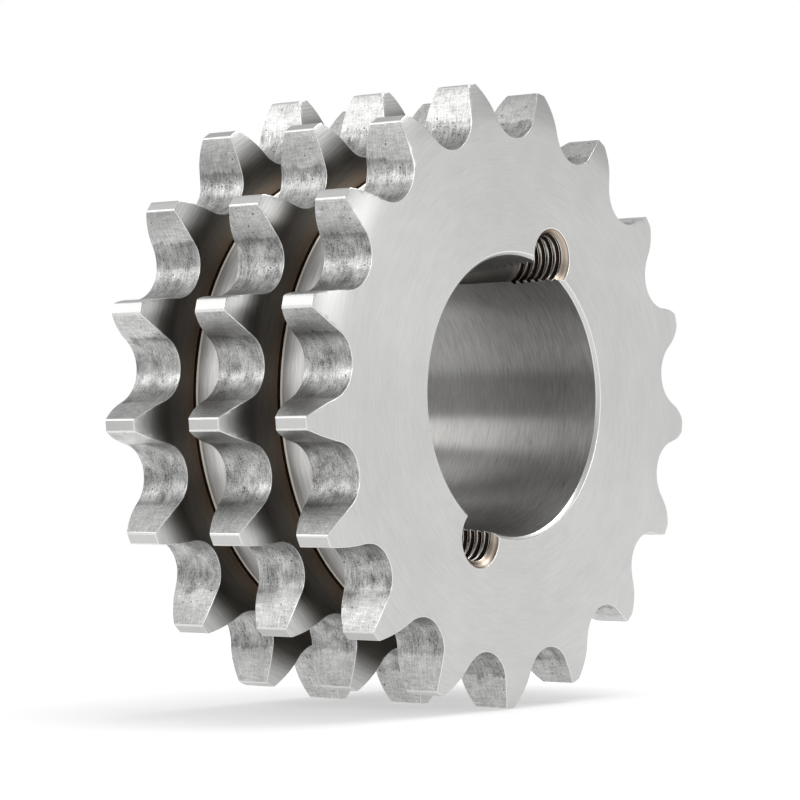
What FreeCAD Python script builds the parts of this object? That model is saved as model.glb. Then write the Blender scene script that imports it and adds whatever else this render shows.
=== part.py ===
"""Triple-row roller chain sprocket for 3/4 inch pitch chain, bored for a taper bush.

One solid, turned from a round blank and then hobbed. Millimetres.
Origin: centre of the front face, on the bore axis. Y runs along the bore, front face at y = 0.
Z is up and one tooth of each row points straight down. X is to the right, seen from the front.
"""
import FreeCAD
import Part
import math
import os

from FreeCAD import Vector

# Chain and teeth
teeth = 17
chain_pitch = 19.05
roller_d = 12.07
seat_clearance = 0.03           # added to the roller radius in the seat
seat_angle = 127.0              # arc of a seat that holds the roller, in degrees
flank_radius = 27.5             # convex flank between the seat and the tip
tip_d = 111.0
down_tooth_angle = -90.0        # direction of the tooth that the sprocket stands on

# Rows
rows = 3
row_pitch = 19.46
row_width = 10.5
side_relief_radius = 19.05      # arc turned on both sides of each row
side_relief_depth = 1.9         # how far that arc sets the tip back

# Hub between the rows
hub_d = 83.8
hub_corner_radius = 0.7

# Bore for the taper bush, and the plain bore behind it
bush_mouth_d = 50.0
bush_seat_length = 38.1
bush_half_angle = 4.0
rear_bore_d = 45.5
bore_chamfer = 0.6

# Two tapped half holes for the bush screws, 3/8 inch thread
screw_count = 2
screw_circle_d = 54.4
screw_angle = 66.6              # direction of the first hole, anticlockwise from +X, in degrees
screw_major_d = 9.525
screw_tap_drill_d = 8.0
screw_mouth_chamfer = 0.6
screw_drill_depth = 26.0
screw_drill_point_angle = 118.0

# Sizes that follow from those above
axis = Vector(0, 1, 0)
centre = Vector(0, 0, 0)
tooth_step = 2 * math.pi / teeth
pitch_radius = chain_pitch / (2 * math.sin(tooth_step / 2))
seat_radius = roller_d / 2 + seat_clearance
seat_centre_radius = pitch_radius + seat_clearance
tip_radius = tip_d / 2
total_width = (rows - 1) * row_pitch + row_width
relief_angle = math.acos(1 - side_relief_depth / side_relief_radius)
relief_start_radius = tip_radius - side_relief_radius * math.sin(relief_angle)
hub_radius = hub_d / 2
bush_taper = math.tan(math.radians(bush_half_angle))
bush_mouth_radius = bush_mouth_d / 2
bush_small_radius = bush_mouth_radius - bush_seat_length * bush_taper
rear_bore_radius = rear_bore_d / 2
cut_overrun = 1.0               # how far a cutter runs past what it cuts
flank_overrun = 0.25            # how far a flank's arc runs past the tip circle


def turned(radius, y):
    """Point of the turned section, which is drawn in the X-Y plane."""
    return Vector(radius, y, 0)


def line(start, end):
    return Part.LineSegment(start, end).toShape()


def arc(start, middle, end):
    return Part.Arc(start, middle, end).toShape()


def relief_arc(face_y, inward):
    """Side relief of a row, from its face to its tip. inward is +1 or -1 along Y."""
    def point(angle):
        radius = relief_start_radius + side_relief_radius * math.sin(angle)
        depth = side_relief_radius * (1 - math.cos(angle))
        return turned(radius, face_y + inward * depth)
    return point(0), point(relief_angle / 2), point(relief_angle)


def corner_arc(face_y, outward):
    """Fillet between a row's side and the hub. outward is +1 or -1 along Y."""
    def point(angle):
        radius = hub_radius + hub_corner_radius * (1 - math.sin(angle))
        depth = hub_corner_radius * (1 - math.cos(angle))
        return turned(radius, face_y + outward * depth)
    return point(0), point(math.pi / 4), point(math.pi / 2)


def row_edges(row):
    """Edges of one row's section, from its front side round the tip to its rear side."""
    front_y = row * row_pitch
    rear_y = front_y + row_width
    front = relief_arc(front_y, 1)
    rear = relief_arc(rear_y, -1)
    return [arc(*front), line(front[2], rear[2]), arc(rear[2], rear[1], rear[0])]


def groove_edges(row):
    """Edges of the groove behind a row, down to the hub and up to the next row."""
    front_side = row * row_pitch + row_width
    rear_side = (row + 1) * row_pitch
    down = corner_arc(front_side, 1)
    up = corner_arc(rear_side, -1)
    return [
        line(turned(relief_start_radius, front_side), down[0]),
        arc(*down),
        line(down[2], up[2]),
        arc(up[2], up[1], up[0]),
        line(up[0], turned(relief_start_radius, rear_side)),
    ]


def bore_edges():
    """Edges of the bore, from the rear face to the front face."""
    seat_end = turned(bush_small_radius, bush_seat_length)
    chamfer_end_radius = bush_mouth_radius - bore_chamfer * bush_taper
    points = [
        turned(relief_start_radius, total_width),
        turned(rear_bore_radius + bore_chamfer, total_width),
        turned(rear_bore_radius, total_width - bore_chamfer),
        turned(rear_bore_radius, bush_seat_length),
        seat_end,
        turned(chamfer_end_radius, bore_chamfer),
        turned(bush_mouth_radius + bore_chamfer, 0),
        turned(relief_start_radius, 0),
    ]
    return [line(a, b) for a, b in zip(points, points[1:])]


def turned_blank():
    edges = []
    for row in range(rows):
        edges += row_edges(row)
        if row < rows - 1:
            edges += groove_edges(row)
    edges += bore_edges()
    section = Part.Face(Part.Wire(Part.__sortEdges__(edges)))
    return section.revolve(centre, axis, 360)


def tooth_gap():
    """Cutter for one tooth gap, its seat centred on +X and its length along Y."""
    half_seat = math.radians(seat_angle) / 2
    outer_radius = tip_radius + flank_overrun
    flank_centre_x = seat_centre_radius - (seat_radius + flank_radius) * math.cos(half_seat)
    flank_centre_z = (seat_radius + flank_radius) * math.sin(half_seat)
    flank_centre_radius = math.hypot(flank_centre_x, flank_centre_z)
    corner_span = math.acos(
        (flank_centre_radius**2 + outer_radius**2 - flank_radius**2)
        / (2 * flank_centre_radius * outer_radius)
    )
    corner_angle = math.atan2(flank_centre_z, flank_centre_x) - corner_span
    corner_x = outer_radius * math.cos(corner_angle)
    corner_z = outer_radius * math.sin(corner_angle)

    def seat_point(angle):
        return Vector(seat_centre_radius - seat_radius * math.cos(angle), 0, seat_radius * math.sin(angle))

    def flank_point(share, side):
        start = -half_seat
        end = math.atan2(corner_z - flank_centre_z, corner_x - flank_centre_x)
        angle = start + share * (end - start)
        x = flank_centre_x + flank_radius * math.cos(angle)
        z = flank_centre_z + flank_radius * math.sin(angle)
        return Vector(x, 0, side * z)

    beyond = outer_radius + cut_overrun
    seat_low, seat_high = seat_point(-half_seat), seat_point(half_seat)
    low, high = flank_point(1, -1), flank_point(1, 1)
    low_out, high_out = Vector(beyond, 0, low.z), Vector(beyond, 0, high.z)
    outline = Part.Wire([
        arc(low, flank_point(0.5, -1), seat_low),
        arc(seat_low, seat_point(0), seat_high),
        arc(seat_high, flank_point(0.5, 1), high),
        line(high, high_out),
        line(high_out, low_out),
        line(low_out, low),
    ])
    cutter = Part.Face(outline).extrude(axis * (total_width + 2 * cut_overrun))
    cutter.translate(-axis * cut_overrun)
    return cutter


def turned_to(shape, angle):
    """Copy of a shape, swung about the bore axis from +X towards +Z by an angle in radians."""
    copy = shape.copy()
    copy.rotate(centre, axis, -math.degrees(angle))
    return copy


def tooth_gaps():
    first_gap = math.radians(down_tooth_angle) + tooth_step / 2
    cutter = tooth_gap()
    return [turned_to(cutter, first_gap + gap * tooth_step) for gap in range(teeth)]


def screw_hole():
    """Drill and mouth chamfer of one half hole, centred on +X."""
    drill_radius = screw_tap_drill_d / 2
    mouth_radius = screw_major_d / 2 + screw_mouth_chamfer
    mouth_depth = mouth_radius - drill_radius
    point_depth = drill_radius / math.tan(math.radians(screw_drill_point_angle) / 2)
    place = Vector(screw_circle_d / 2, 0, 0)
    drill = Part.makeCylinder(
        drill_radius, screw_drill_depth + cut_overrun, place - axis * cut_overrun, axis
    )
    point = Part.makeCone(drill_radius, 0, point_depth, place + axis * screw_drill_depth, axis)
    mouth = Part.makeCone(
        mouth_radius + cut_overrun, drill_radius, mouth_depth + cut_overrun, place - axis * cut_overrun, axis
    )
    return drill.fuse([point, mouth])


def screw_holes():
    first_hole = math.radians(screw_angle)
    cutter = screw_hole()
    return [turned_to(cutter, first_hole + hole * 2 * math.pi / screw_count) for hole in range(screw_count)]


def sprocket():
    body = turned_blank()
    body = body.cut(tooth_gaps())
    body = body.cut(screw_holes())
    return body.Solids[0]


os.makedirs("parts", exist_ok=True)
sprocket().exportStep("parts/sprocket.step")
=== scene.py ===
"""Triple-row chain sprocket in bare machined steel, with threaded half holes at a tapered bore.

The body is turned from a round blank, its tooth gaps and its two half holes are cut, the half holes
are threaded, and then all edges are broken. Lengths are in metres, as Blender has them.
"""

import math

import bpy
from mathutils import Matrix, Vector


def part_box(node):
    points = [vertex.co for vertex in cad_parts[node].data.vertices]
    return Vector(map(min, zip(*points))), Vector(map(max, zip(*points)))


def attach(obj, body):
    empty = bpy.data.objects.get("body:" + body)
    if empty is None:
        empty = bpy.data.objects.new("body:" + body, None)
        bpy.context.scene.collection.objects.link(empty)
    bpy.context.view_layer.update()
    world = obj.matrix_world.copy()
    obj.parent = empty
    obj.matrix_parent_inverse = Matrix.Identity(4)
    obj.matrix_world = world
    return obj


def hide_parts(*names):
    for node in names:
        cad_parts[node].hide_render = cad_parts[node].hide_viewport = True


bl_info = {
    "name": "Chain sprocket",
    "version": (1, 0, 0),
    "blender": (4, 5, 0),
    "location": "View3D > Sidebar > Sprocket",
    "description": "Builds a triple-row chain sprocket with its machined finish and a studio stage",
    "category": "Object",
}

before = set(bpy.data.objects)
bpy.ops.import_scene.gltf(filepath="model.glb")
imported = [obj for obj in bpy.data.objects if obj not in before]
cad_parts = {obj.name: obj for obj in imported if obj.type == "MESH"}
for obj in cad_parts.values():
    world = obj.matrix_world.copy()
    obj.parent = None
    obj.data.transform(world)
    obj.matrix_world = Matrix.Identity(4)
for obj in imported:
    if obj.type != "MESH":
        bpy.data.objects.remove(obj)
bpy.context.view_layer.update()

MM = 0.001
CAD_NODE = "sprocket"
BODY = "sprocket_body"
AXIS = Vector((0, 1, 0))


def length(name, description, millimetres):
    """A length property, given in millimetres and kept in metres."""
    return bpy.props.FloatProperty(
        name=name, description=description, default=millimetres * MM, unit="LENGTH", precision=5
    )


def turn(name, description, degrees):
    """An angle property, given in degrees and kept in radians."""
    return bpy.props.FloatProperty(
        name=name, description=description, default=math.radians(degrees), unit="ROTATION"
    )


def linear(hex_colour):
    """Linear RGBA of an sRGB hex colour such as #9a9a98."""
    channels = [int(hex_colour[i:i + 2], 16) / 255 for i in (1, 3, 5)]
    return [c / 12.92 if c <= 0.04045 else ((c + 0.055) / 1.055) ** 2.4 for c in channels] + [1.0]


def colour(name, description, hex_colour):
    """A colour property, given as an sRGB hex value."""
    return bpy.props.FloatVectorProperty(
        name=name, description=description, default=linear(hex_colour), subtype="COLOR", size=4,
        min=0, max=1,
    )


def light_level(name, description, value):
    """A light level property, where 1 is white to the eye."""
    return bpy.props.FloatProperty(name=name, description=description, default=value)


class SprocketSizes(bpy.types.PropertyGroup):
    """Sizes of the toothed body and its bore."""

    teeth: bpy.props.IntProperty(name="Teeth", description="Teeth in each row", default=17)
    rows: bpy.props.IntProperty(name="Rows", description="Rows of teeth", default=3)
    chain_pitch: length("Chain pitch", "Distance between the rollers of the chain", 19.05)
    roller_d: length("Roller diameter", "Diameter of the chain's rollers", 12.07)
    seat_clearance: length("Seat clearance", "Added to the roller radius in the seat", 0.03)
    seat_angle: turn("Seat angle", "Arc of a seat that holds the roller", 127.0)
    flank_radius: length("Flank radius", "Convex flank between the seat and the tip", 27.5)
    tip_d: length("Tip diameter", "Diameter over the tips", 111.0)
    row_pitch: length("Row pitch", "Distance from one row to the next", 19.46)
    row_width: length("Row width", "Width of one row", 10.5)
    relief_radius: length("Relief radius", "Arc turned on both sides of each row", 19.05)
    relief_depth: length("Relief depth", "How far that arc sets the tip back", 1.9)
    hub_d: length("Hub diameter", "Diameter of the hub between the rows", 83.8)
    hub_corner: length("Hub corner", "Fillet between the hub and the rows", 0.7)
    bush_mouth_d: length("Bush mouth", "Diameter of the bush seat at the front face", 50.0)
    bush_seat_length: length("Bush seat length", "Depth of the tapered bush seat", 38.1)
    bush_half_angle: turn("Bush taper", "Half angle of the bush seat", 4.0)
    rear_bore_d: length("Rear bore", "Diameter of the plain bore behind the bush seat", 45.5)
    bore_chamfer: length("Bore chamfer", "Chamfer at both ends of the bore", 0.6)
    tip_edge: length("Tip edge", "Width of the broken edges along the tip lands", 0.24)
    broken_edge: length("Broken edge", "Width of the other broken edges", 0.11)


class ScrewHoleSizes(bpy.types.PropertyGroup):
    """Sizes of the threaded half holes for the bush screws."""

    count: bpy.props.IntProperty(name="Holes", description="Half holes round the bore", default=2)
    circle_d: length("Circle", "Circle through the centres of the half holes", 54.4)
    angle: turn("First hole", "Direction of the first hole, anticlockwise from the right", 66.6)
    major_d: length("Thread diameter", "Outer diameter of the thread", 9.525)
    thread_pitch: length("Thread pitch", "Distance from one thread to the next", 1.5875)
    thread_length: length("Thread length", "Threaded depth of each hole", 11.0)
    drill_d: length("Drill diameter", "Diameter of the drilled hole", 8.0)
    drill_depth: length("Drill depth", "Depth of the hole to the drill's shoulder", 26.0)
    drill_point: turn("Drill point", "Point angle of the drill", 118.0)
    mouth_chamfer: length("Mouth chamfer", "How far the mouth is chamfered past the thread", 0.6)
    broken_edge: length("Thread edge", "Width of the thread's broken edges", 0.05)


class SteelColours(bpy.types.PropertyGroup):
    """Colours of the machined surfaces."""

    turned: colour("Turned steel", "Colour of the turned faces", "#c9c9c7")
    # painted shade: the dark colour of the row sides down in the grooves between the rows
    groove: colour("Groove sides", "Colour of the row sides down in the grooves", "#5b5853")
    land: colour("Tip steel", "Colour of the tip lands", "#cececd")
    hub: colour("Hub steel", "Colour of the hub between the rows", "#eae8e6")
    bore: colour("Bored steel", "Colour of the bore at its mouth", "#c4c3c1")
    # painted shade: the bore's colour darkened at its far end
    bore_deep_shade: colour("Deep bore", "Colour of the bore at its far end", "#a09f9d")
    flank: colour("Hobbed steel", "Lighter colour of the tooth flanks", "#dcdcdb")
    # darker flank colour: partly scuffing, partly painted shade in the seats between the teeth
    scuff_and_shade: colour("Scuffed steel", "Darker colour of the tooth flanks", "#5e5e5d")
    pit: colour("Pits", "Colour of the fine pits on the flanks", "#3c3c3b")
    # painted highlight: the broken edges are partly painted paler than the steel, so that they shine as
    # lines
    edge: colour("Edge steel", "Colour of the broken edges", "#e6e6e4")
    drilled: colour("Drilled steel", "Colour of the drilled half holes", "#cfcdca")
    mouth: colour("Countersink", "Colour of the countersunk mouths of the half holes", "#ada093")
    # painted highlight: the pale colour of the thread's crests, of the threaded drilled wall and of the
    # hub's pale line
    crest: colour("Thread crest", "Colour of the thread's crests", "#f3ede4")
    # painted shade with a brown oil tint, in the thread's roots and in the hub's crease
    root: colour("Thread root", "Colour of the oil and dirt in the thread's root", "#241911")
    # brown oil; in the grooves it also paints a lighter reflection near the hub
    stain: colour("Stain", "Colour of the oil stain in the corners", "#c2976a")


class StageSettings(bpy.types.PropertyGroup):
    """Floor, light and camera."""

    floor: colour("Floor", "Colour of the floor", "#fbfbfb")
    backdrop: colour("Backdrop", "Colour of the backdrop", "#ffffff")
    flag: colour("Flag", "Colour of the dark card on the left", "#3c3c3c")
    sky: light_level("Sky", "Light level all round, above the backdrop", 0.54)
    overhead: light_level("Overhead light", "Level of the light overhead", 4.6)
    left: light_level("Left light", "Level of the light on the left", 1.65)
    rear: light_level("Rear light", "Level of the light high behind", 0.62)
    front: light_level("Front light", "Level of the light in front", 2.4)
    camera_place: bpy.props.FloatVectorProperty(
        name="Camera", description="Place of the camera", unit="LENGTH", size=3,
        default=(-0.44559, -0.33232, -0.01065),
    )
    camera_direction: bpy.props.FloatVectorProperty(
        name="Direction", description="Direction that the camera looks in", size=3,
        default=(0.7786, 0.62726, 0.01799),
    )
    camera_up: bpy.props.FloatVectorProperty(
        name="Up", description="Up direction of the camera", size=3,
        default=(-0.0108, -0.01526, 0.99983),
    )
    lens: bpy.props.FloatProperty(
        name="Lens", description="Focal length in millimetres, on a 36 mm wide picture", default=141.07
    )


def sizes():
    return bpy.context.scene.sprocket_sizes


def holes():
    return bpy.context.scene.sprocket_holes


def colours():
    return bpy.context.scene.sprocket_colours


def total_width(s):
    return (s.rows - 1) * s.row_pitch + s.row_width


def pitch_radius(s):
    """Radius of the circle through the centres of the chain's rollers."""
    return s.chain_pitch / (2 * math.sin(math.pi / s.teeth))


# Mesh steps, each as it is done by hand

DOUBLES = 0.002 * MM            # vertices closer than this are one


def select_only(ob):
    bpy.ops.object.select_all(action="DESELECT")
    ob.select_set(True)
    bpy.context.view_layer.objects.active = ob


def edit(ob):
    select_only(ob)
    bpy.ops.object.mode_set(mode="EDIT")
    bpy.ops.mesh.select_mode(type="VERT")
    bpy.ops.mesh.select_all(action="SELECT")


def leave_edit():
    bpy.ops.object.mode_set(mode="OBJECT")


def outline(name, points):
    """A closed outline: a circle with one vertex for each point, drawn out to those points."""
    bpy.ops.object.select_all(action="DESELECT")
    bpy.ops.mesh.primitive_circle_add(vertices=len(points))
    ob = bpy.context.object
    ob.name = name
    for vertex, point in zip(ob.data.vertices, points):
        vertex.co = point
    return ob


def heal():
    """Merges doubles and turns all faces outwards, in edit mode."""
    bpy.ops.mesh.select_all(action="SELECT")
    bpy.ops.mesh.remove_doubles(threshold=DOUBLES)
    bpy.ops.mesh.delete_loose(use_verts=True, use_edges=True, use_faces=False)
    bpy.ops.mesh.select_all(action="SELECT")
    bpy.ops.mesh.normals_make_consistent(inside=False)


def apply_modifier(ob, kind, **settings):
    select_only(ob)
    bpy.ops.object.modifier_add(type=kind)
    modifier = ob.modifiers[-1]
    for key, value in settings.items():
        setattr(modifier, key, value)
    bpy.ops.object.modifier_apply(modifier=modifier.name)


def cut(ob, cutter):
    """Takes the cutter's shape out of ob. The new faces have the cutter's material."""
    apply_modifier(
        ob, "BOOLEAN", operation="DIFFERENCE", solver="EXACT", object=cutter, material_mode="TRANSFER"
    )
    bpy.data.objects.remove(cutter)


def turned(name, section, steps):
    """A solid turned about the bore axis from its half section, given as (radius, y)."""
    ob = outline(name, [(radius, y, 0) for radius, y in section])
    edit(ob)
    bpy.ops.mesh.spin(steps=steps, angle=2 * math.pi, center=(0, 0, 0), axis=AXIS)
    heal()
    leave_edit()
    return ob


def arc_points(centre, radius, start, end, segments):
    """Points along an arc in a plane, both ends included. Angles in radians."""
    step = (end - start) / segments
    return [
        (centre[0] + radius * math.cos(start + i * step), centre[1] + radius * math.sin(start + i * step))
        for i in range(segments + 1)
    ]


# Turned blank

RELIEF_SEGMENTS = 10
CORNER_SEGMENTS = 5
BLANK_STEPS_PER_TOOTH = 20
BLANK_STEP_OFFSET = 0.37        # keeps the blank's facets off the middle of teeth and gaps
SIDE_LEAN = 0.9                 # the normal of a flat side leans along Y by this or more
CHAMFER_LEAN = 0.5              # the normal of a bore's chamfer leans by more than this
LAND_LEAN = 0.1                 # the normal of a tip land leans by less than this
TIP_MARGIN = 0.1 * MM           # how far below the tip circle a tip land may lie


def row_section(s, front_y):
    """Section of one row from its front side round the tip to its rear side, as (radius, y)."""
    rear_y = front_y + s.row_width
    span = math.acos(1 - s.relief_depth / s.relief_radius)
    start_radius = s.tip_d / 2 - s.relief_radius * math.sin(span)
    front_centre = (start_radius, front_y + s.relief_radius)
    rear_centre = (start_radius, rear_y - s.relief_radius)
    quarter = math.pi / 2
    front = arc_points(front_centre, s.relief_radius, -quarter, -quarter + span, RELIEF_SEGMENTS)
    rear = arc_points(rear_centre, s.relief_radius, quarter - span, quarter, RELIEF_SEGMENTS)
    return front + rear


def groove_section(s, front_side, rear_side):
    """Section of a groove from one row's rear side down to the hub and up to the next row."""
    corner = s.hub_corner
    middle_radius = s.hub_d / 2 + corner
    quarter = math.pi / 2
    down = arc_points((middle_radius, front_side + corner), corner, -quarter, -2 * quarter, CORNER_SEGMENTS)
    up = arc_points((middle_radius, rear_side - corner), corner, 2 * quarter, quarter, CORNER_SEGMENTS)
    return down + up


def bore_section(s):
    """Section of the bore from the rear face to the front face."""
    taper = math.tan(s.bush_half_angle)
    mouth, rear, chamfer = s.bush_mouth_d / 2, s.rear_bore_d / 2, s.bore_chamfer
    return [
        (rear + chamfer, total_width(s)),
        (rear, total_width(s) - chamfer),
        (rear, s.bush_seat_length),
        (mouth - s.bush_seat_length * taper, s.bush_seat_length),
        (mouth - chamfer * taper, chamfer),
        (mouth + chamfer, 0),
    ]


def blank_section(s):
    section = []
    for row in range(s.rows):
        front_y = row * s.row_pitch
        section += row_section(s, front_y)
        if row < s.rows - 1:
            section += groove_section(s, front_y + s.row_width, front_y + s.row_pitch)
    return section + bore_section(s)


def turned_blank(s):
    steps = s.teeth * BLANK_STEPS_PER_TOOTH
    blank = turned(BODY, blank_section(s), steps)
    blank.data.transform(Matrix.Rotation(BLANK_STEP_OFFSET * 2 * math.pi / steps, 4, AXIS))
    return blank


def surface_of(face, s):
    """Finish of one face of the blank, by its radius and by how far its normal leans along Y."""
    radius = math.hypot(face.center.x, face.center.z)
    lean = abs(face.normal.y)
    if lean < SIDE_LEAN and radius < s.bush_mouth_d / 2 + s.bore_chamfer:
        return "tip_land" if lean > CHAMFER_LEAN else "bored_seat"
    if lean < SIDE_LEAN and radius < s.hub_d / 2 + s.hub_corner:
        return "turned_hub"
    if lean < LAND_LEAN and radius > s.tip_d / 2 - TIP_MARGIN:
        return "tip_land"
    return "turned_side"


def name_surfaces(blank, s):
    """Gives each face of the turned blank its finish."""
    finishes = ["turned_side", "tip_land", "turned_hub", "bored_seat"]
    for name in finishes:
        blank.data.materials.append(bpy.data.materials[name])
    for face in blank.data.polygons:
        face.material_index = finishes.index(surface_of(face, s))


# Tooth gaps

SEAT_SEGMENTS = 28
FLANK_SEGMENTS = 12
OVERRUN = 1.0 * MM              # how far a cutter runs past what it cuts
FLANK_OVERRUN = 0.25 * MM       # how far a flank's arc runs past the tip circle


def gap_outline(s):
    """Outline of one tooth gap as (x, z), its seat centred on +X."""
    half_seat = s.seat_angle / 2
    seat_radius = s.roller_d / 2 + s.seat_clearance
    seat_centre = pitch_radius(s) + s.seat_clearance
    reach = seat_radius + s.flank_radius
    flank_centre = (seat_centre - reach * math.cos(half_seat), reach * math.sin(half_seat))
    outer = s.tip_d / 2 + FLANK_OVERRUN
    distance = math.hypot(*flank_centre)
    span = math.acos((distance**2 + outer**2 - s.flank_radius**2) / (2 * distance * outer))
    corner_angle = math.atan2(flank_centre[1], flank_centre[0]) - span
    corner = (outer * math.cos(corner_angle), outer * math.sin(corner_angle))
    flank_end = math.atan2(corner[1] - flank_centre[1], corner[0] - flank_centre[0])
    seat = arc_points(
        (seat_centre, 0), seat_radius, math.pi + half_seat, math.pi - half_seat, SEAT_SEGMENTS
    )
    flank = arc_points(flank_centre, s.flank_radius, -half_seat, flank_end, FLANK_SEGMENTS)[1:]
    mirrored = [(x, -z) for x, z in reversed(flank)]
    beyond = outer + s.relief_depth
    return mirrored + seat + flank + [(beyond, flank[-1][1]), (beyond, -flank[-1][1])]


def gap_cutters(s):
    """All tooth gaps as one cutter: one prism, copied round the axis."""
    cutters = outline("gap_cutter", [(x, -OVERRUN, z) for x, z in gap_outline(s)])
    through = (0, total_width(s) + 2 * OVERRUN, 0)
    edit(cutters)
    bpy.ops.mesh.edge_face_add()
    bpy.ops.mesh.extrude_region_move(TRANSFORM_OT_translate={"value": through})
    heal()
    leave_edit()
    # The first gap goes half a step beside straight down, so that a tooth points straight down
    step = 2 * math.pi / s.teeth
    cutters.data.transform(Matrix.Rotation(math.pi / 2 - step / 2, 4, "Y"))
    cutters.data.materials.append(bpy.data.materials["hobbed_flank"])
    edit(cutters)
    bpy.ops.mesh.spin(
        steps=s.teeth - 1, dupli=True, angle=step * (s.teeth - 1), center=(0, 0, 0), axis=AXIS
    )
    leave_edit()
    return cutters


# Half holes

HOLE_SEGMENTS = 72
THREAD_STEPS = 64
THREAD_FLANK = math.radians(30)
THREAD_INSET = 0.3 * MM         # how far inside the drilled wall the thread's notch starts
ROOT_SHARE = 1 / 8              # half width of the flat in the thread's root, as a share of the pitch


def hole_centre(h, index):
    """Centre of one half hole at the front face."""
    angle = h.angle + index * 2 * math.pi / h.count
    return Vector((math.cos(angle), 0, math.sin(angle))) * h.circle_d / 2


def hole_section(h):
    """Half section of a drilled hole with its chamfered mouth, as (radius, y)."""
    drill = h.drill_d / 2
    mouth = h.major_d / 2 + h.mouth_chamfer
    return [
        (0, -OVERRUN),
        (mouth + OVERRUN, -OVERRUN),
        (drill, mouth - drill),
        (drill, h.drill_depth),
        (0, h.drill_depth + drill / math.tan(h.drill_point / 2)),
    ]


def place_at_hole(ob, h, index):
    """Moves a shape that lies on the Y axis to one of the half holes."""
    ob.data.transform(Matrix.Translation(hole_centre(h, index)))


def hole_cutter(h, index):
    """Drill, drill point and chamfered mouth of one half hole."""
    ob = turned("hole_cutter", hole_section(h), HOLE_SEGMENTS)
    ob.data.materials.append(bpy.data.materials["drilled_hole"])
    place_at_hole(ob, h, index)
    return ob


def thread_cutter(h, index):
    """Helical groove of the thread: a 60 degree notch swept round the hole."""
    major = h.major_d / 2
    inner = h.drill_d / 2 - THREAD_INSET
    root_half = h.thread_pitch * ROOT_SHARE
    mouth_half = root_half + (major - inner) * math.tan(THREAD_FLANK)
    start_y = -h.thread_pitch
    notch = [
        (inner, start_y - mouth_half, 0),
        (major, start_y - root_half, 0),
        (major, start_y + root_half, 0),
        (inner, start_y + mouth_half, 0),
    ]
    ob = outline("thread_cutter", notch)
    turns = round((h.thread_length - start_y) / h.thread_pitch)
    apply_modifier(
        ob, "SCREW", axis="Y", angle=2 * math.pi, screw_offset=h.thread_pitch, iterations=turns,
        steps=THREAD_STEPS, render_steps=THREAD_STEPS, use_normal_calculate=True,
    )
    edit(ob)
    bpy.ops.mesh.fill_holes(sides=4)
    heal()
    leave_edit()
    ob.data.materials.append(bpy.data.materials["cut_thread"])
    place_at_hole(ob, h, index)
    return ob


# Threads and broken edges

SHARP = math.radians(28)        # edges that turn by more than this are broken
SMOOTH = math.radians(32)       # edges that turn by less than this are shaded smooth
FLAT = math.radians(0.1)        # faces that turn by less than this become one
MERGE_MARGIN = 1.1              # vertices closer than this many widths of a broken edge are merged
THREAD_REACH = 0.05 * MM        # added to the thread's radius where its edges are looked for
TIP_REACH = 0.2 * MM            # how far below the tip circle the edge of a tip land may lie
ALONG_BORE = 0.99               # Y share of the direction of an edge that runs along the bore
NORMAL_WEIGHT = 80


def near_a_thread(point, h):
    """True where a point lies in the threaded stretch of a half hole."""
    reach = h.major_d / 2 + THREAD_REACH
    offsets = [point - hole_centre(h, index) for index in range(h.count)]
    beside = any(math.hypot(offset.x, offset.z) < reach for offset in offsets)
    return beside and point.y < h.thread_length + h.thread_pitch


def merge_close(body, picked, distance):
    """Merges the picked vertices that lie close together, where a broken edge would fold over itself."""
    edit(body)
    bpy.ops.mesh.select_all(action="DESELECT")
    leave_edit()
    for vertex in body.data.vertices:
        vertex.select = picked(vertex.co)
    bpy.ops.object.mode_set(mode="EDIT")
    bpy.ops.mesh.remove_doubles(threshold=distance)
    leave_edit()


def edge_width(edge, vertices, s, h):
    """How wide a sharp edge is broken: finely in a thread, widely along a tip land."""
    start, end = (vertices[index].co for index in edge.vertices)
    middle = (start + end) / 2
    if near_a_thread(middle, h):
        return h.broken_edge
    along = abs((end - start).normalized().y) > ALONG_BORE
    if along and math.hypot(middle.x, middle.z) > s.tip_d / 2 - TIP_REACH:
        return s.tip_edge
    return s.broken_edge


def break_edges(body, s, h):
    """Breaks all sharp edges, each as wide as its bevel weight says."""
    mesh = body.data
    mesh.materials.append(bpy.data.materials["broken_edge"])
    edit(body)
    bpy.ops.mesh.select_mode(type="EDGE")
    bpy.ops.mesh.select_all(action="DESELECT")
    bpy.ops.mesh.edges_select_sharp(sharpness=SHARP)
    leave_edit()
    weights = mesh.attributes.new("bevel_weight_edge", "FLOAT", "EDGE")
    for edge in mesh.edges:
        if edge.select:
            weights.data[edge.index].value = edge_width(edge, mesh.vertices, s, h) / s.tip_edge
    apply_modifier(
        body, "BEVEL", width=s.tip_edge, segments=2, limit_method="WEIGHT", use_clamp_overlap=False,
        loop_slide=False, material=len(mesh.materials) - 1, miter_outer="MITER_ARC",
    )


# The body, step by step

def build_body(s, h):
    """The turned blank with its tooth gaps and half holes."""
    body = turned_blank(s)
    name_surfaces(body, s)
    cut(body, gap_cutters(s))
    for index in range(h.count):
        cut(body, hole_cutter(h, index))


def cut_threads(body, h):
    for index in range(h.count):
        cut(body, thread_cutter(h, index))
    edit(body)
    heal()
    bpy.ops.mesh.dissolve_limited(angle_limit=FLAT, delimit={"MATERIAL"})
    leave_edit()


def finish_edges(body, s, h):
    """Breaks the sharp edges and shades the rest smooth."""
    hub = s.hub_d / 2 + s.hub_corner
    merge_close(body, lambda point: math.hypot(point.x, point.z) > hub, MERGE_MARGIN * s.broken_edge)
    merge_close(body, lambda point: near_a_thread(point, h), MERGE_MARGIN * h.broken_edge)
    break_edges(body, s, h)
    select_only(body)
    bpy.ops.object.shade_smooth_by_angle(angle=SMOOTH)
    apply_modifier(body, "WEIGHTED_NORMAL", keep_sharp=True, weight=NORMAL_WEIGHT)


# Finishes

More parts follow.
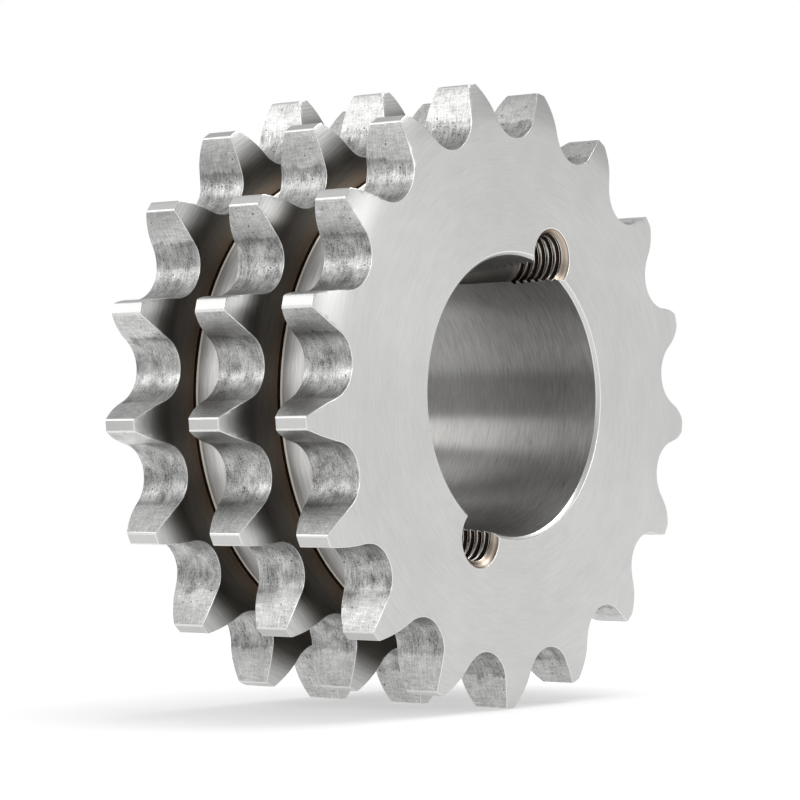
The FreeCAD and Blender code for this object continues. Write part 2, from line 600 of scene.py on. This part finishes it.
class Nodes:
    """Node tree of a material or a world, with one function that adds a node."""

    def __init__(self, owner):
        owner.use_nodes = True
        self.owner = owner
        self.tree = owner.node_tree
        self.tree.nodes.clear()

    def add(self, kind, inputs=None, **settings):
        """Adds a node. An input is a value, or the output socket of another node."""
        node = self.tree.nodes.new(kind)
        for key, value in settings.items():
            setattr(node, key, value)
        for key, value in (inputs or {}).items():
            if isinstance(value, bpy.types.NodeSocket):
                self.tree.links.new(value, node.inputs[key])
            else:
                node.inputs[key].default_value = value
        return node


def finish(name):
    """Node tree of a finish, made or emptied."""
    return Nodes(bpy.data.materials.get(name) or bpy.data.materials.new(name))


class Place:
    """Where a point lies on the sprocket: its depth, radius and direction about the bore."""

    def __init__(self, n):
        self.point = n.add("ShaderNodeTexCoord").outputs["Object"]
        parts = n.add("ShaderNodeSeparateXYZ", {0: self.point}).outputs
        self.depth = parts["Y"]
        self.flat = n.add("ShaderNodeCombineXYZ", {"X": parts["X"], "Z": parts["Z"]}).outputs[0]
        self.radius = n.add("ShaderNodeVectorMath", {0: self.flat}, operation="LENGTH").outputs["Value"]
        self.around = n.add("ShaderNodeVectorMath", {0: self.flat}, operation="NORMALIZE").outputs[0]
        self.axis = n.add("ShaderNodeCombineXYZ", {"Y": 1}).outputs[0]


MARK_ROUGHNESS = 0.6            # how much the finer octaves of marks and grain show


def turning_marks(n, place, across, spacing, breaks):
    """Marks that run round the bore, stacked along one coordinate and broken now and then."""
    stacked = n.add("ShaderNodeMath", {0: across, 1: 1 / spacing}, operation="MULTIPLY").outputs[0]
    lift = n.add("ShaderNodeCombineXYZ", {"Y": stacked}).outputs[0]
    ring = n.add("ShaderNodeVectorMath", {0: place.around, "Scale": breaks}, operation="SCALE").outputs[0]
    spot = n.add("ShaderNodeVectorMath", {0: ring, 1: lift}, operation="ADD").outputs[0]
    return n.add("ShaderNodeTexNoise", {
        "Vector": spot, "Scale": 1, "Detail": 3, "Roughness": MARK_ROUGHNESS,
    }).outputs["Fac"]


def grain(n, place, spacing, detail):
    """Noise with its own spacing along x, y and z."""
    spot = n.add(
        "ShaderNodeVectorMath", {0: place.point, 1: [1 / s for s in spacing]}, operation="MULTIPLY"
    ).outputs[0]
    return n.add("ShaderNodeTexNoise", {
        "Vector": spot, "Scale": 1, "Detail": detail, "Roughness": MARK_ROUGHNESS,
    }).outputs["Fac"]


def metal(n, shade, roughness, bump, bump_depth, anisotropy=0.0, tangent=None):
    """Bare metal with its colour, roughness and relief. Its reflections are drawn out along the tangent."""
    relief = n.add("ShaderNodeBump", {"Height": bump, "Strength": 1.0, "Distance": bump_depth}).outputs[0]
    inputs = {
        "Base Color": shade, "Metallic": 1.0, "Roughness": roughness, "Anisotropic": anisotropy,
        "Normal": relief,
    }
    if tangent:
        inputs["Tangent"] = tangent
    shader = n.add("ShaderNodeBsdfPrincipled", inputs)
    n.add("ShaderNodeOutputMaterial", {"Surface": shader.outputs[0]})


def wall_distance(n, place, s):
    """Distance along the bore from the nearest side of a row, above zero in the grooves."""
    half = s.row_width / 2
    from_row = n.add("ShaderNodeMath", {0: place.depth, 1: half}, operation="SUBTRACT").outputs[0]
    swing = n.add("ShaderNodeMath", {0: from_row, 1: s.row_pitch / 2}, operation="PINGPONG").outputs[0]
    return n.add("ShaderNodeMath", {0: swing, 1: half}, operation="SUBTRACT").outputs[0]


# The real rings lie about 0.1 mm apart, finer than a pixel, so they are drawn coarser
RING_SPACING = 0.22 * MM
SIDE_SWEEP = 4 * MM
SIDE_CLOUD = 12 * MM
GROOVE_SHADE_START, GROOVE_SHADE_FULL = 1 * MM, 7 * MM       # between these depths below the tip the painted shade in a groove grows
STAIN_AND_SHEEN_START, STAIN_AND_SHEEN_FULL = 4.5 * MM, 0.7 * MM    # between these heights above the hub the brown stain grows, which also paints a lighter reflection near the hub
STAIN_AND_SHEEN_SHARE = 0.12


def make_turned_side(c, s):
    """Rings of the turning tool, pale on the outer faces, darkened to a brownish grey by painted shade down
    in the grooves, with a brown stain near the hub that also paints a lighter reflection.
    """
    n = finish("turned_side")
    place = Place(n)
    rings = turning_marks(n, place, place.radius, RING_SPACING, breaks=9)
    sweep = turning_marks(n, place, place.radius, SIDE_SWEEP, breaks=1.6)
    cloud = grain(n, place, [SIDE_CLOUD] * 3, detail=4)
    tip, hub, middle = s.tip_d / 2, s.hub_d / 2, total_width(s) / 2
    off = n.add("ShaderNodeMath", {0: place.depth, 1: middle}, operation="SUBTRACT").outputs[0]
    off = n.add("ShaderNodeMath", {0: off}, operation="ABSOLUTE").outputs[0]
    inside = n.add(
        "ShaderNodeMath", {0: off, 1: middle - s.row_width / 2}, operation="LESS_THAN"
    ).outputs[0]
    # painted shade: the row sides darken down in the grooves, where shade falls between the rows
    groove_shade = n.add("ShaderNodeMapRange", {
        "Value": place.radius, "From Min": tip - GROOVE_SHADE_START, "From Max": tip - GROOVE_SHADE_FULL,
    }, interpolation_type="SMOOTHSTEP").outputs[0]
    shade_and_oil = n.add("ShaderNodeMath", {0: inside, 1: groove_shade}, operation="MULTIPLY").outputs[0]
    shade = n.add("ShaderNodeMix", {0: shade_and_oil, 6: c.turned, 7: c.groove}, data_type="RGBA").outputs[2]
    # brown oil stain near the hub, paler than the groove, so that it also paints a lighter reflection there
    corner = n.add("ShaderNodeMapRange", {
        "Value": place.radius, "From Min": hub + STAIN_AND_SHEEN_START, "From Max": hub + STAIN_AND_SHEEN_FULL,
        "To Max": STAIN_AND_SHEEN_SHARE,
    }, interpolation_type="SMOOTHSTEP").outputs[0]
    corner = n.add("ShaderNodeMath", {0: corner, 1: inside}, operation="MULTIPLY").outputs[0]
    shade = n.add("ShaderNodeMix", {0: corner, 6: shade, 7: c.stain}, data_type="RGBA").outputs[2]
    faint, strong = [
        n.add("ShaderNodeMapRange", {
            "Value": rings, "From Min": 0.3, "From Max": 0.7, "To Min": dark, "To Max": pale,
        }).outputs[0]
        for dark, pale in ((0.93, 1.05), (0.82, 1.14))
    ]
    marks = n.add("ShaderNodeMix", {0: inside, 2: faint, 3: strong}, data_type="FLOAT").outputs[0]
    tone = n.add("ShaderNodeMath", {0: sweep, 1: 0.1, 2: 0.88}, operation="MULTIPLY_ADD").outputs[0]
    tone = n.add("ShaderNodeMath", {0: cloud, 1: 0.18, 2: tone}, operation="MULTIPLY_ADD").outputs[0]
    tone = n.add("ShaderNodeMath", {0: tone, 1: marks}, operation="MULTIPLY").outputs[0]
    shade = n.add("ShaderNodeVectorMath", {0: shade, "Scale": tone}, operation="SCALE").outputs[0]
    gloss = n.add("ShaderNodeMath", {0: rings, 1: 0.12, 2: 0.3}, operation="MULTIPLY_ADD").outputs[0]
    metal(n, shade, gloss, rings, bump_depth=0.006 * MM, anisotropy=0.55, tangent=place.around)


LAND_SCRATCH = (0.35 * MM, 5 * MM, 0.35 * MM)
LAND_CLOUD = 3 * MM


def make_tip_land(c):
    """Bright turned tips and bore chamfers, with a few faint marks along the axis."""
    n = finish("tip_land")
    place = Place(n)
    scratches = grain(n, place, LAND_SCRATCH, detail=3)
    cloud = grain(n, place, [LAND_CLOUD] * 3, detail=3)
    tone = n.add("ShaderNodeMath", {0: scratches, 1: 0.06, 2: 0.95}, operation="MULTIPLY_ADD").outputs[0]
    shade = n.add("ShaderNodeVectorMath", {0: c.land[:3], "Scale": tone}, operation="SCALE").outputs[0]
    gloss = n.add("ShaderNodeMath", {0: cloud, 1: 0.12, 2: 0.32}, operation="MULTIPLY_ADD").outputs[0]
    metal(n, shade, gloss, scratches, bump_depth=0.003 * MM)


# Marks of the turning and the boring tool, drawn coarser than the real 0.1 mm
BRUSH_SPACING = 0.3 * MM
HUB_SWEEP = 1.6 * MM
SHADE_FADE_START, SHADE_FADE_END = 0.8 * MM, 4 * MM         # between these distances from a row the painted shade in the hub's corners lifts and the hub brightens
HIGHLIGHT_LINE, HIGHLIGHT_HALF = 0.6 * MM, 0.2 * MM       # place and half width of the painted highlight line beside a row
# width of the very dark line of painted shade in the crease beside a row
CREASE_SHADE_LINE = 0.4 * MM
BROWN_LIFT = 0.47 * MM                          # height in the corner above which oil has gathered


def make_turned_hub(c, s):
    """Brushed warm grey hub, darkened towards the rows by painted shade, with a painted highlight line, a
    very dark line of painted shade and a brown oil line in its corners.
    """
    n = finish("turned_hub")
    place = Place(n)
    brush = turning_marks(n, place, place.depth, BRUSH_SPACING, breaks=7)
    sweep = turning_marks(n, place, place.depth, HUB_SWEEP, breaks=3)
    wall = wall_distance(n, place, s)
    lift = n.add("ShaderNodeMath", {0: place.radius, 1: s.hub_d / 2}, operation="SUBTRACT").outputs[0]
    # painted shade: the hub darkens towards the rows, in the corners where shade falls
    corner_shade = n.add("ShaderNodeMapRange", {
        "Value": wall, "From Min": SHADE_FADE_START, "From Max": SHADE_FADE_END, "To Min": 0.55, "To Max": 1.1,
    }).outputs[0]
    tone = n.add("ShaderNodeMath", {0: brush, 1: 0.7, 2: 0.4}, operation="MULTIPLY_ADD").outputs[0]
    tone = n.add("ShaderNodeMath", {0: sweep, 1: 0.5, 2: tone}, operation="MULTIPLY_ADD").outputs[0]
    tone = n.add("ShaderNodeMath", {0: tone, 1: corner_shade}, operation="MULTIPLY").outputs[0]
    shade = n.add("ShaderNodeVectorMath", {0: c.hub[:3], "Scale": tone}, operation="SCALE").outputs[0]
    # painted highlight: a pale line beside each row, where the fillet meets the hub
    pale = n.add("ShaderNodeMath", {0: wall, 1: HIGHLIGHT_LINE, 2: HIGHLIGHT_HALF}, operation="COMPARE").outputs[0]
    # painted shade: a very dark line in the crease at the foot of each row
    crease_shade = n.add("ShaderNodeMath", {0: wall, 1: CREASE_SHADE_LINE}, operation="LESS_THAN").outputs[0]
    brown = n.add("ShaderNodeMath", {0: lift, 1: BROWN_LIFT}, operation="GREATER_THAN").outputs[0]
    for line, line_colour in ((pale, c.crest), (crease_shade, c.root), (brown, c.stain)):
        shade = n.add("ShaderNodeMix", {0: line, 6: shade, 7: line_colour}, data_type="RGBA").outputs[2]
    gloss = n.add("ShaderNodeMath", {0: brush, 1: 0.15, 2: 0.48}, operation="MULTIPLY_ADD").outputs[0]
    metal(n, shade, gloss, brush, bump_depth=0.008 * MM, anisotropy=0.8, tangent=place.axis)


BORE_SWEEP = 3.5 * MM
BORE_UNSHADED = 2 * MM                            # depth up to which the bore keeps its mouth's colour, before its painted shade begins


def make_bored_seat(c, s):
    """Smooth grey bore with the boring tool's fine marks round it, darkened towards its far end by painted
    shade.
    """
    n = finish("bored_seat")
    place = Place(n)
    brush = turning_marks(n, place, place.depth, BRUSH_SPACING, breaks=7)
    sweep = turning_marks(n, place, place.depth, BORE_SWEEP, breaks=2)
    # painted shade: the bore darkens towards its far end, further into the recess
    depth_shade = n.add("ShaderNodeMapRange", {
        "Value": place.depth, "From Min": BORE_UNSHADED, "From Max": s.bush_seat_length,
    }).outputs[0]
    shade = n.add("ShaderNodeMix", {0: depth_shade, 6: c.bore, 7: c.bore_deep_shade}, data_type="RGBA").outputs[2]
    tone = n.add("ShaderNodeMath", {0: brush, 1: 0.9, 2: 0.37}, operation="MULTIPLY_ADD").outputs[0]
    tone = n.add("ShaderNodeMath", {0: sweep, 1: 0.3, 2: tone}, operation="MULTIPLY_ADD").outputs[0]
    shade = n.add("ShaderNodeVectorMath", {0: shade, "Scale": tone}, operation="SCALE").outputs[0]
    gloss = n.add("ShaderNodeMath", {0: brush, 1: 0.12, 2: 0.24}, operation="MULTIPLY_ADD").outputs[0]
    metal(n, shade, gloss, brush, bump_depth=0.006 * MM, anisotropy=0.8, tangent=place.axis)


# The grain is finer than a pixel on the real flanks and is drawn coarser
SPECKS = 0.24 * MM
FEED_MARKS = (2 * MM, 0.32 * MM, 2 * MM)        # along the profile of a tooth
BORE_MARKS = (0.4 * MM, 2.5 * MM, 0.4 * MM)     # along the bore
PATCHES = 3.2 * MM
PITS = 0.9 * MM
SMOOTH_START, SMOOTH_FULL = 2.2 * MM, 3.4 * MM  # between these heights above the seat a flank smooths and loses the painted shade of the seat
TORN_BY_PATCH, TORN_BY_FEED = 3.4 * MM, 1.6 * MM    # how far patches and marks move that border
BORDER_MIDDLE, BORDER_HALF = 0.5, 0.3           # stretch of that change that is scuffed, of 0 to 1


def make_hobbed_flank(c, s):
    """Hobbed flanks: smooth near the tips, grainy, scuffed and darkened by painted shade in the seats, with
    fine marks and pits.
    """
    n = finish("hobbed_flank")
    place = Place(n)
    specks = grain(n, place, [SPECKS] * 3, detail=4)
    feed = grain(n, place, FEED_MARKS, detail=3)
    along = grain(n, place, BORE_MARKS, detail=4)
    patch = grain(n, place, [PATCHES] * 3, detail=5)
    torn, coarse, smooth = place.radius, 0.0, specks
    for mark, reach in ((patch, TORN_BY_PATCH), (feed, TORN_BY_FEED)):
        torn = n.add("ShaderNodeMath", {0: mark, 1: reach, 2: torn}, operation="MULTIPLY_ADD").outputs[0]
    for mark, part in ((specks, 1.25), (feed, 0.8), (patch, 1.3)):
        coarse = n.add("ShaderNodeMath", {0: mark, 1: part, 2: coarse}, operation="MULTIPLY_ADD").outputs[0]
    for mark, part in ((along, 0.6), (feed, 0.6), (patch, 0.5)):
        smooth = n.add("ShaderNodeMath", {0: mark, 1: part, 2: smooth}, operation="MULTIPLY_ADD").outputs[0]
    seat_top = pitch_radius(s) - s.roller_d / 2 * math.cos(s.seat_angle / 2)
    flank = n.add("ShaderNodeMapRange", {
        "Value": torn, "From Min": seat_top + SMOOTH_START, "From Max": seat_top + SMOOTH_FULL,
    }, interpolation_type="SMOOTHSTEP").outputs[0]
    coarse = n.add("ShaderNodeMapRange", {"Value": coarse, "From Min": 1.28, "From Max": 2.12}).outputs[0]
    smooth = n.add("ShaderNodeMapRange", {"Value": smooth, "From Min": 0.74, "From Max": 1.6}).outputs[0]
    tone = n.add("ShaderNodeMix", {0: flank, 2: coarse, 3: smooth}, data_type="FLOAT").outputs[0]
    # painted shade: the seats mix towards the darker colour, from scuffing and from shade far down between
    # the teeth
    shade = n.add("ShaderNodeMix", {0: tone, 6: c.scuff_and_shade, 7: c.flank}, data_type="RGBA").outputs[2]
    border = n.add(
        "ShaderNodeMath", {0: flank, 1: BORDER_MIDDLE, 2: BORDER_HALF}, operation="COMPARE"
    ).outputs[0]
    border = n.add("ShaderNodeMath", {0: border, 1: specks}, operation="MULTIPLY").outputs[0]
    border = n.add("ShaderNodeMapRange", {
        "Value": border, "From Min": 0.4, "From Max": 0.6, "To Max": 0.45,
    }).outputs[0]
    shade = n.add("ShaderNodeMix", {0: border, 6: shade, 7: c.scuff_and_shade}, data_type="RGBA").outputs[2]
    spot = n.add("ShaderNodeVectorMath", {0: place.point, "Scale": 1 / PITS}, operation="SCALE").outputs[0]
    cells = n.add("ShaderNodeTexVoronoi", {"Vector": spot, "Scale": 1})
    rare = n.add("ShaderNodeSeparateXYZ", {0: cells.outputs["Color"]}).outputs["X"]
    size = n.add("ShaderNodeMapRange", {
        "Value": rare, "From Min": 0.55, "From Max": 1.0, "To Max": 0.2,
    }).outputs[0]
    pits = n.add(
        "ShaderNodeMath", {0: cells.outputs["Distance"], 1: size}, operation="LESS_THAN"
    ).outputs[0]
    shade = n.add("ShaderNodeMix", {0: pits, 6: shade, 7: c.pit}, data_type="RGBA").outputs[2]
    gloss = n.add("ShaderNodeMapRange", {"Value": tone, "To Min": 0.44, "To Max": 0.3}).outputs[0]
    height = n.add("ShaderNodeMath", {0: pits, 1: -1.0, 2: tone}, operation="MULTIPLY_ADD").outputs[0]
    metal(n, shade, gloss, height, bump_depth=0.02 * MM)


def hole_distance(n, place, h):
    """Distance from the axis of the nearest half hole."""
    aways = [
        n.add(
            "ShaderNodeVectorMath", {0: place.flat, 1: hole_centre(h, index)}, operation="DISTANCE"
        ).outputs["Value"]
        for index in range(h.count)
    ]
    nearest = aways[0]
    for away in aways[1:]:
        nearest = n.add("ShaderNodeMath", {0: nearest, 1: away}, operation="MINIMUM").outputs[0]
    return nearest


HOLE_STREAKS = (0.5 * MM, 0.25 * MM, 2.5 * MM)
HOLE_RINGS = 0.3 * MM
HIGHLIGHT_REACH = 1 * MM                           # how far past the thread the painted crest highlight fades
SUNK = 0.05 * MM                                # what lies further outside the drilled wall is countersunk
RIM_START, RIM_FULL = 0.2 * MM, 0.6 * MM        # between these distances past the thread oil gathers


def make_drilled_hole(c, h):
    """Dull drilled wall, painted pale where it is threaded as a highlight on the thread's crests, with a
    streaked and slightly brown countersink.
    """
    n = finish("drilled_hole")
    place = Place(n)
    away = hole_distance(n, place, h)
    streaks = grain(n, place, HOLE_STREAKS, detail=4)
    # painted highlight: the threaded stretch takes the pale crest colour, so that the crests shine as lines
    crest_highlight = n.add("ShaderNodeMapRange", {
        "Value": place.depth, "From Min": h.thread_length + HIGHLIGHT_REACH, "From Max": h.thread_length,
    }, interpolation_type="SMOOTHSTEP").outputs[0]
    shade = n.add("ShaderNodeMix", {0: crest_highlight, 6: c.drilled, 7: c.crest}, data_type="RGBA").outputs[2]
    sunk = n.add("ShaderNodeMath", {0: away, 1: h.drill_d / 2 + SUNK}, operation="GREATER_THAN").outputs[0]
    shade = n.add("ShaderNodeMix", {0: sunk, 6: shade, 7: c.mouth}, data_type="RGBA").outputs[2]
    thread = h.major_d / 2
    rim = n.add("ShaderNodeMapRange", {
        "Value": away, "From Min": thread + RIM_START, "From Max": thread + RIM_FULL,
    }).outputs[0]
    shade_and_oil = n.add("ShaderNodeMapRange", {
        "Value": streaks, "From Min": 0.45, "From Max": 0.65, "To Max": 0.8,
    }).outputs[0]
    shade_and_oil = n.add("ShaderNodeMath", {0: shade_and_oil, 1: rim}, operation="MULTIPLY").outputs[0]
    shade = n.add("ShaderNodeMix", {0: shade_and_oil, 6: shade, 7: c.stain}, data_type="RGBA").outputs[2]
    rings = turning_marks(n, place, away, HOLE_RINGS, breaks=1.5)
    tone = n.add("ShaderNodeMapRange", {
        "Value": rings, "From Min": 0.35, "From Max": 0.6, "To Min": 0.45, "To Max": 1.25,
    }).outputs[0]
    shade = n.add("ShaderNodeVectorMath", {0: shade, "Scale": tone}, operation="SCALE").outputs[0]
    metal(n, shade, roughness=0.36, bump=streaks, bump_depth=0.01 * MM)


THREAD_STREAKS = (0.5 * MM, 0.2 * MM, 2 * MM)
TORN_BY_STREAKS = 0.35 * MM
ROOT_SHADE_START, ROOT_SHADE_FULL = 0.14 * MM, 0.3 * MM     # between these depths in the wall the root darkens with painted shade


def make_cut_thread(c, h):
    """Thread crests painted pale as highlights, falling to a dark brown in the roots: painted shade with a
    brown oil tint.
    """
    n = finish("cut_thread")
    place = Place(n)
    streaks = grain(n, place, THREAD_STREAKS, detail=4)
    away = hole_distance(n, place, h)
    torn = n.add(
        "ShaderNodeMath", {0: streaks, 1: TORN_BY_STREAKS, 2: away}, operation="MULTIPLY_ADD"
    ).outputs[0]
    crest = h.drill_d / 2
    # painted shade in the thread's roots, tinted brown as oil, against crests painted pale as highlights
    root = n.add("ShaderNodeMapRange", {
        "Value": torn, "From Min": crest + ROOT_SHADE_START, "From Max": crest + ROOT_SHADE_FULL,
    }, interpolation_type="SMOOTHSTEP").outputs[0]
    shade = n.add("ShaderNodeMix", {0: root, 6: c.crest, 7: c.root}, data_type="RGBA").outputs[2]
    metal(n, shade, roughness=0.25, bump=streaks, bump_depth=0.008 * MM)


EDGE_WEAR = 0.8 * MM


def make_broken_edge(c):
    """Bright rubbed edges: rubbed steel, partly painted paler than the steel so that they show as highlight
    lines.
    """
    n = finish("broken_edge")
    place = Place(n)
    wear = grain(n, place, [EDGE_WEAR] * 3, detail=3)
    tone = n.add("ShaderNodeMath", {0: wear, 1: 0.2, 2: 0.88}, operation="MULTIPLY_ADD").outputs[0]
    shade = n.add("ShaderNodeVectorMath", {0: c.edge[:3], "Scale": tone}, operation="SCALE").outputs[0]
    metal(n, shade, roughness=0.26, bump=wear, bump_depth=0.004 * MM)


def make_finishes():
    c, s, h = colours(), sizes(), holes()
    make_turned_side(c, s)
    make_tip_land(c)
    make_turned_hub(c, s)
    make_bored_seat(c, s)
    make_hobbed_flank(c, s)
    make_drilled_hole(c, h)
    make_cut_thread(c, h)
    make_broken_edge(c)


# Stage

STAGE_RADIUS = 4.0
STAGE_SIDES = 96
BACKDROP_HEIGHT = 1.0
FLOOR_NEAR, FLOOR_FAR = 0.2, 0.7    # between these distances the floor turns into the backdrop
FLOOR_WHITE = 0.48                  # share of the backdrop's white in the floor near the sprocket
FLOOR_MIRRORED = 0.66               # the same, as the metal reflects it
FLAG_DISTANCE = 0.2
FLAG_LENGTH = 0.46
FLAG_SHIFT = 0.24
FLAG_TOP = 0.047
SOFTBOXES = {                       # place, width and height of each soft light
    "overhead": ((0.3, -0.16, 1.12), 0.9, 0.9),
    "left": ((-0.776, 0.625, 0.465), 1.6, 0.42),
    "rear": ((-0.3, 0.62, 0.77), 0.46, 0.3),
    "front": ((0.35, -1.05, 0.36), 0.6, 0.3),
}
SENSOR_WIDTH = 36                   # in millimetres, as the lens
CLIP_NEAR, CLIP_FAR = 0.01, 100


def seen_white(n, stage):
    """White to the eye and in the metal, and matt to all other light."""
    path = n.add("ShaderNodeLightPath").outputs
    seen = path["Is Camera Ray"]
    for ray in ("Is Glossy Ray", "Is Transmission Ray"):
        seen = n.add("ShaderNodeMath", {0: seen, 1: path[ray]}, operation="MAXIMUM").outputs[0]
    matt = n.add("ShaderNodeBsdfDiffuse", {"Color": stage.backdrop}).outputs[0]
    white = n.add("ShaderNodeEmission", {"Color": stage.backdrop, "Strength": 1.0}).outputs[0]
    return n.add("ShaderNodeMixShader", {0: seen, 1: matt, 2: white}).outputs[0]


def make_floor(stage, floor_z):
    """Pale floor that takes the sprocket's shadow, and turns into the backdrop's white further out."""
    bpy.ops.mesh.primitive_circle_add(
        vertices=STAGE_SIDES, radius=STAGE_RADIUS, fill_type="NGON", location=(0, 0, floor_z)
    )
    floor = bpy.context.object
    floor.name = "floor"
    n = finish("pale_floor")
    matt = n.add("ShaderNodeBsdfDiffuse", {"Color": stage.floor}).outputs[0]
    point = n.add("ShaderNodeTexCoord").outputs["Object"]
    away = n.add("ShaderNodeVectorMath", {0: point}, operation="LENGTH").outputs["Value"]
    far = n.add("ShaderNodeMapRange", {
        "Value": away, "From Min": FLOOR_NEAR, "From Max": FLOOR_FAR, "To Min": FLOOR_WHITE,
    }, interpolation_type="SMOOTHSTEP").outputs[0]
    mirrored = n.add("ShaderNodeLightPath").outputs["Is Glossy Ray"]
    least = n.add("ShaderNodeMath", {0: mirrored, 1: FLOOR_MIRRORED}, operation="MULTIPLY").outputs[0]
    share = n.add("ShaderNodeMath", {0: far, 1: least}, operation="MAXIMUM").outputs[0]
    mixed = n.add("ShaderNodeMixShader", {0: share, 1: matt, 2: seen_white(n, stage)})
    n.add("ShaderNodeOutputMaterial", {"Surface": mixed.outputs[0]})
    floor.data.materials.append(n.owner)


def make_backdrop(stage, floor_z):
    """Low white wall all round."""
    bpy.ops.mesh.primitive_cylinder_add(
        vertices=STAGE_SIDES, radius=STAGE_RADIUS, depth=BACKDROP_HEIGHT, end_fill_type="NOTHING",
        location=(0, 0, floor_z + BACKDROP_HEIGHT / 2),
    )
    wall = bpy.context.object
    wall.name = "backdrop"
    n = finish("white_backdrop")
    n.add("ShaderNodeOutputMaterial", {"Surface": seen_white(n, stage)})
    wall.data.materials.append(n.owner)


def make_flag(stage, floor_z):
    """Dark card on the left, seen only in the metal, which it gives something dark to reflect."""
    direction = Vector((-1, 1, 0)).normalized()
    bpy.ops.mesh.primitive_plane_add(size=1)
    flag = bpy.context.object
    flag.name = "flag"
    flag.scale = (FLAG_LENGTH, FLAG_TOP - floor_z, 1)
    flag.rotation_euler = direction.to_track_quat("Z", "Y").to_euler()
    along = Vector((1, 1, 0)).normalized()
    middle = Vector((0, 0, (FLAG_TOP + floor_z) / 2))
    flag.location = direction * FLAG_DISTANCE + along * FLAG_SHIFT + middle
    n = finish("dark_card")
    matt = n.add("ShaderNodeBsdfDiffuse", {"Color": stage.flag}).outputs[0]
    clear = n.add("ShaderNodeBsdfTransparent").outputs[0]
    mirrored = n.add("ShaderNodeLightPath").outputs["Is Glossy Ray"]
    n.add("ShaderNodeOutputMaterial", {
        "Surface": n.add("ShaderNodeMixShader", {0: mirrored, 1: clear, 2: matt}).outputs[0],
    })
    flag.data.materials.append(n.owner)


def make_softbox(name, place, width, height, level):
    """Soft light that faces the sprocket. Its level is its brightness to the eye, where 1 is white."""
    bpy.ops.object.light_add(type="AREA", location=place)
    lamp = bpy.context.object
    lamp.name = name
    lamp.data.shape = "RECTANGLE"
    lamp.data.size = width
    lamp.data.size_y = height
    lamp.data.energy = level * math.pi * width * height
    lamp.rotation_euler = Vector(place).to_track_quat("Z", "Y").to_euler()


def make_light(stage):
    """Even light from all round, and soft lights overhead, on the left, behind and in front."""
    world = bpy.data.worlds.new("studio")
    bpy.context.scene.world = world
    n = Nodes(world)
    sky = n.add("ShaderNodeBackground", {"Color": (1, 1, 1, 1), "Strength": stage.sky})
    n.add("ShaderNodeOutputWorld", {"Surface": sky.outputs[0]})
    for side, (place, width, height) in SOFTBOXES.items():
        make_softbox(side + "_light", place, width, height, getattr(stage, side))


def make_camera(stage):
    camera = bpy.data.objects.new("camera", bpy.data.cameras.new("camera"))
    bpy.context.scene.collection.objects.link(camera)
    forward = Vector(stage.camera_direction).normalized()
    right = forward.cross(Vector(stage.camera_up)).normalized()
    up = right.cross(forward)
    facing = Matrix((right, up, -forward)).transposed().to_4x4()
    camera.matrix_world = Matrix.Translation(stage.camera_place) @ facing
    camera.data.lens = stage.lens
    camera.data.sensor_width = SENSOR_WIDTH
    camera.data.clip_start = CLIP_NEAR
    camera.data.clip_end = CLIP_FAR
    bpy.context.scene.camera = camera


def build_stage():
    stage = bpy.context.scene.sprocket_stage
    floor_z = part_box(CAD_NODE)[0].z
    bpy.ops.object.select_all(action="DESELECT")
    make_floor(stage, floor_z)
    make_backdrop(stage, floor_z)
    make_flag(stage, floor_z)
    make_light(stage)
    make_camera(stage)
    bpy.context.scene.view_settings.view_transform = "Standard"


class SPROCKET_OT_finishes(bpy.types.Operator):
    """Makes the machined steel finishes"""

    bl_idname = "sprocket.finishes"
    bl_label = "Steel finishes"

    def execute(self, context):
        make_finishes()
        return {"FINISHED"}


class SPROCKET_OT_body(bpy.types.Operator):
    """Turns the blank and cuts the tooth gaps and the half holes"""

    bl_idname = "sprocket.body"
    bl_label = "Toothed body"

    def execute(self, context):
        build_body(sizes(), holes())
        return {"FINISHED"}


class SPROCKET_OT_threads(bpy.types.Operator):
    """Cuts the threads of the half holes and breaks all sharp edges"""

    bl_idname = "sprocket.threads"
    bl_label = "Threads and edges"

    def execute(self, context):
        body = bpy.data.objects[BODY]
        cut_threads(body, holes())
        finish_edges(body, sizes(), holes())
        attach(body, "root")
        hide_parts(CAD_NODE)
        return {"FINISHED"}


class SPROCKET_OT_stage(bpy.types.Operator):
    """Sets up the floor, the light and the camera"""

    bl_idname = "sprocket.stage"
    bl_label = "Studio stage"

    def execute(self, context):
        build_stage()
        return {"FINISHED"}


class SPROCKET_PT_panel(bpy.types.Panel):
    """Lists the steps that build the sprocket"""

    bl_label = "Chain sprocket"
    bl_idname = "SPROCKET_PT_panel"
    bl_space_type = "VIEW_3D"
    bl_region_type = "UI"
    bl_category = "Sprocket"

    def draw(self, context):
        for operator in OPERATORS:
            self.layout.operator(operator.bl_idname)


OPERATORS = (SPROCKET_OT_finishes, SPROCKET_OT_body, SPROCKET_OT_threads, SPROCKET_OT_stage)
GROUPS = {
    "sprocket_sizes": SprocketSizes,
    "sprocket_holes": ScrewHoleSizes,
    "sprocket_colours": SteelColours,
    "sprocket_stage": StageSettings,
}


def register():
    for name, group in GROUPS.items():
        bpy.utils.register_class(group)
        setattr(bpy.types.Scene, name, bpy.props.PointerProperty(type=group))
    for operator in OPERATORS:
        bpy.utils.register_class(operator)
    bpy.utils.register_class(SPROCKET_PT_panel)


def unregister():
    bpy.utils.unregister_class(SPROCKET_PT_panel)
    for operator in reversed(OPERATORS):
        bpy.utils.unregister_class(operator)
    for name, group in reversed(GROUPS.items()):
        delattr(bpy.types.Scene, name)
        bpy.utils.unregister_class(group)


def main():
    register()
    bpy.ops.sprocket.finishes()
    bpy.ops.sprocket.body()
    bpy.ops.sprocket.threads()
    bpy.ops.sprocket.stage()


if __name__ == "__main__":
    main()
